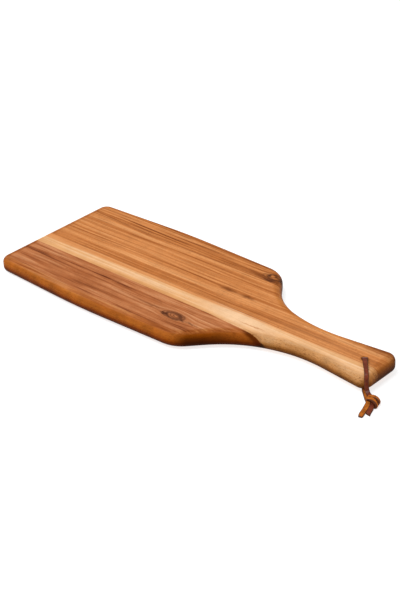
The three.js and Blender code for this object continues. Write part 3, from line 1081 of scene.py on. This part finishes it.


# How oil and painted shade deepen the colour down the rounded edges, by the share of the board's
# thickness: the painted shade makes the foot of the edges almost black
HEART_EDGE_OIL_AND_SHADE = [
    (0, (1, 1, 1)),
    (0.09, (0.14, 0.075, 0.02)),
    (0.2, (0.15, 0.065, 0.008)),
    (0.38, (0.32, 0.155, 0.01)),
    (0.5, (0.56, 0.34, 0.044)),
    (0.62, (0.73, 0.54, 0.14)),
    (0.9, (0.79, 0.64, 0.28)),
    (1, (1, 1, 1)),
]
SAP_EDGE_OIL_AND_SHADE = [
    (0, (1, 1, 1)),
    (0.09, (0.15, 0.09, 0.04)),
    (0.2, (0.15, 0.09, 0.035)),
    (0.38, (0.28, 0.18, 0.07)),
    (0.5, (0.5, 0.39, 0.23)),
    (0.62, (0.67, 0.57, 0.43)),
    (0.85, (0.68, 0.61, 0.51)),
    (0.96, (0.78, 0.73, 0.67)),
    (1, (1, 1, 1)),
]
# The same on the end grain, which drinks more oil, with painted shade as well
HEART_END_OIL_AND_SHADE = [
    (0, (1, 1, 1)),
    (0.09, (0.1, 0.055, 0.015)),
    (0.2, (0.07, 0.04, 0.008)),
    (0.38, (0.1, 0.06, 0.014)),
    (0.62, (0.25, 0.17, 0.06)),
    (0.85, (0.53, 0.44, 0.28)),
    (0.97, (0.88, 0.83, 0.74)),
    (1, (1, 1, 1)),
]
RED_END_OIL_AND_SHADE = [
    (0, (1, 1, 1)),
    (0.09, (0.09, 0.04, 0.006)),
    (0.2, (0.065, 0.026, 0.002)),
    (0.38, (0.105, 0.044, 0.002)),
    (0.62, (0.24, 0.13, 0.006)),
    (0.85, (0.48, 0.31, 0.04)),
    (0.95, (0.72, 0.6, 0.36)),
    (1, (1, 1, 1)),
]
SAP_END_OIL_AND_SHADE = [
    (0, (1, 1, 1)),
    (0.09, (0.15, 0.09, 0.035)),
    (0.2, (0.17, 0.09, 0.03)),
    (0.38, (0.34, 0.2, 0.07)),
    (0.62, (0.62, 0.44, 0.24)),
    (0.9, (0.8, 0.66, 0.5)),
    (0.97, (0.9, 0.82, 0.72)),
    (1, (1, 1, 1)),
]


# What the staves share, unless a stave has its own
PLAIN_STAVE = {
    "seed": (0, 0, 0),
    "turn": (0, 0, 0),
    "sway": 4,
    "borders": [],
    "heart_edge": None,
    "knots": [],
    "rings": [],
    "pores": (0.25, 0.4),
    "edge": HEART_EDGE_OIL_AND_SHADE,
    "end": HEART_END_OIL_AND_SHADE,
    "rim": 0.06,
    "calm": 0.4,
}
# What each stave shows: places along, across and up, in millimetres from the middle of the board
# bands: place across and tone; layers: source, length, width, strength and detail
# borders: place across, slope along, lean, softness, start along and kind
# heart_edge: place across, lean and softness; pores: how dark on top and on the sides
# knots: place, half length and half width; rings: the same, then thickness and strength
# marks: place, half sizes, strength and paint; glue: strength of each line of glue
STAVE_LOOKS = {
    "front": {
        "seed": (3, 0, 0),
        "pith": (-58, -45),
        "turn": (0, 0.012, 0),
        "ring": 3.0,
        "late": 0.2,
        "bands": [(-58, 0.5), (-64, 0.62), (-70, 0.48), (-78, 0.6), (-86, 0.58), (-95, 0.55)],
        "layers": [
            ("ring", 300, 6, 0.9, 2),
            ("grain", 85, 6.0, 1.5, 3),
            ("grain", 60, 2.0, 1.1, 2),
        ],
        "tone_places": (0.0, 0.3, 0.6, 1.0),
        "borders": [
            (-35.2, -0.04, -0.375, 1.8, 83, "stain"),
            (-30.8, -0.04, -0.375, 0.5, ALL_ALONG, "sap"),
        ],
        "knots": [(9.7, -58.9, 13, 6)],
        "rings": [
            (11.0, -58.5, 3.0, 1.6, 0.55, 0.9),
            (10.0, -58.7, 6.0, 3.0, 0.34, 0.9),
            (8.5, -59.0, 10.0, 4.9, 0.45, 1.0),
            (8.0, -59.0, 14.5, 6.8, 0.16, 0.65),
        ],
        "marks": [
            (-3.5, -61.0, TOP, 9, 3.6, THROUGH, 0.95, "knot"),
            (22, -61.5, TOP, 6, 2.6, THROUGH, 0.9, "knot"),
            (33, -60.8, TOP, 15, 2, THROUGH, 0.7, "knot"),
            (-30, -57.5, TOP, 28, 1.8, THROUGH, 0.4, "knot"),
        ],
        "vessels": 0.3,
        "glue": {"front_glue": 0.2},
        "end": RED_END_OIL_AND_SHADE,
        "rim": 0.05,
        "calm": 0.75,
    },
    "light": {
        "pith": (40, -110),
        "turn": (0, 0.01, 0),
        "ring": 4.5,
        "late": 0.08,
        "bands": [(-40, 0.5), (-31, 0.4), (-26, 0.62), (-20, 0.72), (-15, 0.62), (-8.5, 0.5)],
        "layers": [
            ("ring", 500, 6, 0.5, 2),
            ("grain", 220, 3, 0.8, 3),
            ("grain", 120, 2.2, 0.7, 2),
        ],
        "tone_places": (0.0, 0.25, 0.55, 0.95),
        "borders": [(-13.6, 0.018, 0, 1.2, ALL_ALONG, "heart")],
        "heart_edge": (-27.7, 0.375, 0.5),
        "marks": [
            (68, -20, TOP, 66, 16, THROUGH, 0.9, "light"),
            (240, -9, 5, 18, 13, 22, 0.75, "knot"),
            (86, -23.3, TOP, 24, 1.5, THROUGH, 0.75, "deep"),
        ],
        "vessels": 0.2,
        "pores": (0.1, 0.6),
        "glue": {"front_glue": 0.2, "light_glue": 0.5},
        "edge": SAP_EDGE_OIL_AND_SHADE,
        "end": SAP_END_OIL_AND_SHADE,
        "rim": 0,
        "calm": 0,
    },
    "middle": {
        "pith": (-190, -80),
        "turn": (0, 0, -0.02),
        "ring": 5.2,
        "late": 0.12,
        "bands": [
            (-10, 0.5), (-6, 0.45), (-2, 0.37), (3, 0.42), (7, 0.6), (10, 0.7), (14, 0.66), (18, 0.5),
            (22, 0.42), (27, 0.58), (33, 0.64), (39, 0.55), (43, 0.4), (47, 0.6), (51, 0.38), (56, 0.6),
            (62, 0.47),
        ],
        "layers": [
            ("ring", 450, 6, 0.5, 2),
            ("grain", 220, 3.0, 0.85, 3),
            ("grain", 120, 2.2, 0.8, 2),
        ],
        "tone_places": (0.0, 0.3, 0.6, 0.95),
        "marks": [
            (17, 20.2, TOP, 18, 5, THROUGH, 0.75, "deep"),
            (44, 19.4, TOP, 15, 4, THROUGH, 0.8, "deep"),
            # The broad dark mark over the far rounding of the handle's end is painted shade.
            (222, 26, TOP, 60, 15, 40, 0.75, "deep"),
            (165, 1, TOP, 95, 12, 40, 0.2, "light"),
            (133, 10, TOP, 2.4, 1.2, 9, 0.8, "light"),
            (108, -8.5, TOP, 4, 1.2, 9, 0.7, "knot"),
        ],
        "vessels": 0.35,
        "glue": {"light_glue": 0.5, "rear_glue": 0.6},
    },
    "rear": {
        "pith": (190, -60),
        "sway": 5,
        "ring": 4.6,
        "late": 0.16,
        "bands": [(58, 0.5), (63, 0.4), (67, 0.3), (72, 0.48), (80, 0.45), (88, 0.36), (96, 0.3)],
        "layers": [
            ("ring", 420, 7, 0.6, 2),
            ("grain", 200, 3.0, 1.2, 3),
            ("grain", 120, 2.2, 1.1, 2),
        ],
        "tone_places": (0.0, 0.3, 0.6, 0.98),
        "knots": [(41, 70.8, 9, 5.4)],
        "rings": [
            (37, 72.3, 4.6, 2.7, 0.5, 0.8),
            (40.6, 71.5, 9.4, 4.8, 0.42, 0.9),
            (39.6, 70.6, 14, 7.6, 0.25, 0.4),
        ],
        "marks": [
            (40, 63.6, TOP, 12, 4.6, THROUGH, 0.85, "knot"),
            (23, 66.6, TOP, 20, 4.4, THROUGH, 0.6, "deep"),
            (45, 72, TOP, 6, 4, THROUGH, 0.9, "knot"),
        ],
        "vessels": 0.6,
        "glue": {"rear_glue": 0.6},
    },
}


class SERVINGBOARD_OT_staves(bpy.types.Operator):
    """Shapes the glued board and cuts it into its four staves"""

    bl_idname = "serving_board.staves"
    bl_label = "Staves"

    def execute(self, context):
        settings = context.scene.serving_board
        sizes = settings.board
        colours = settings.wood
        heart = (colours.heart_deep, colours.heart_dark, colours.heart_mid, colours.heart_light)
        red = (colours.red_deep, colours.red_dark, colours.red_mid, colours.red_light)
        pale = (colours.heart_dark, colours.sap_dark, colours.sap_mid, colours.sap_light)
        blank = drilled_blank(sizes)
        # Name, glue line on the near and on the far side, tones, slot and finish
        staves = (
            ("front", None, sizes.front_glue, red, "front_heartwood", "acacia heartwood red"),
            ("light", sizes.front_glue, sizes.light_glue, pale, "sapwood", "acacia sapwood"),
            ("middle", sizes.light_glue, sizes.rear_glue, heart, "middle_heartwood", "acacia heartwood"),
            ("rear", sizes.rear_glue, None, heart, "rear_heartwood", "acacia heartwood dark"),
        )
        for name, near, far, tones, slot, finish in staves:
            body = stave_body(blank, near, far, sizes)
            body.transform(standing_place(sizes))
            look = PLAIN_STAVE | STAVE_LOOKS[name]
            made = new_object(name + "_stave", body, [wood(finish, look, tones, colours, sizes)])
            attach(made, "board")
            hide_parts("stave_" + name)
        bpy.data.meshes.remove(blank)
        return {"FINISHED"}


OPERATORS = (
    SERVINGBOARD_OT_stage,
    SERVINGBOARD_OT_knot,
    SERVINGBOARD_OT_tails,
    SERVINGBOARD_OT_strands,
    SERVINGBOARD_OT_staves,
)


class SERVINGBOARD_PT_panel(bpy.types.Panel):
    """Lists the steps and the settings"""

    bl_idname = "SERVINGBOARD_PT_panel"
    bl_label = "Serving Board"
    bl_space_type = "VIEW_3D"
    bl_region_type = "UI"
    bl_category = "Serving Board"

    def draw(self, context):
        for operator in OPERATORS:
            self.layout.operator(operator.bl_idname)
        settings = context.scene.serving_board
        for group in (settings.board, settings.lace, settings.wood, settings.leather, settings.stage):
            box = self.layout.box()
            for name in group.__annotations__:
                box.prop(group, name)


CLASSES = (
    BoardSizes,
    LaceSizes,
    WoodColours,
    LeatherColours,
    StageSettings,
    ServingBoardSettings,
    *OPERATORS,
    SERVINGBOARD_PT_panel,
)


def register():
    for cls in CLASSES:
        bpy.utils.register_class(cls)
    bpy.types.Scene.serving_board = PointerProperty(type=ServingBoardSettings)


def unregister():
    del bpy.types.Scene.serving_board
    for cls in reversed(CLASSES):
        bpy.utils.unregister_class(cls)


def main():
    register()
    bpy.ops.serving_board.stage()
    bpy.ops.serving_board.knot()
    bpy.ops.serving_board.tails()
    bpy.ops.serving_board.strands()
    bpy.ops.serving_board.staves()


if __name__ == "__main__":
    main()
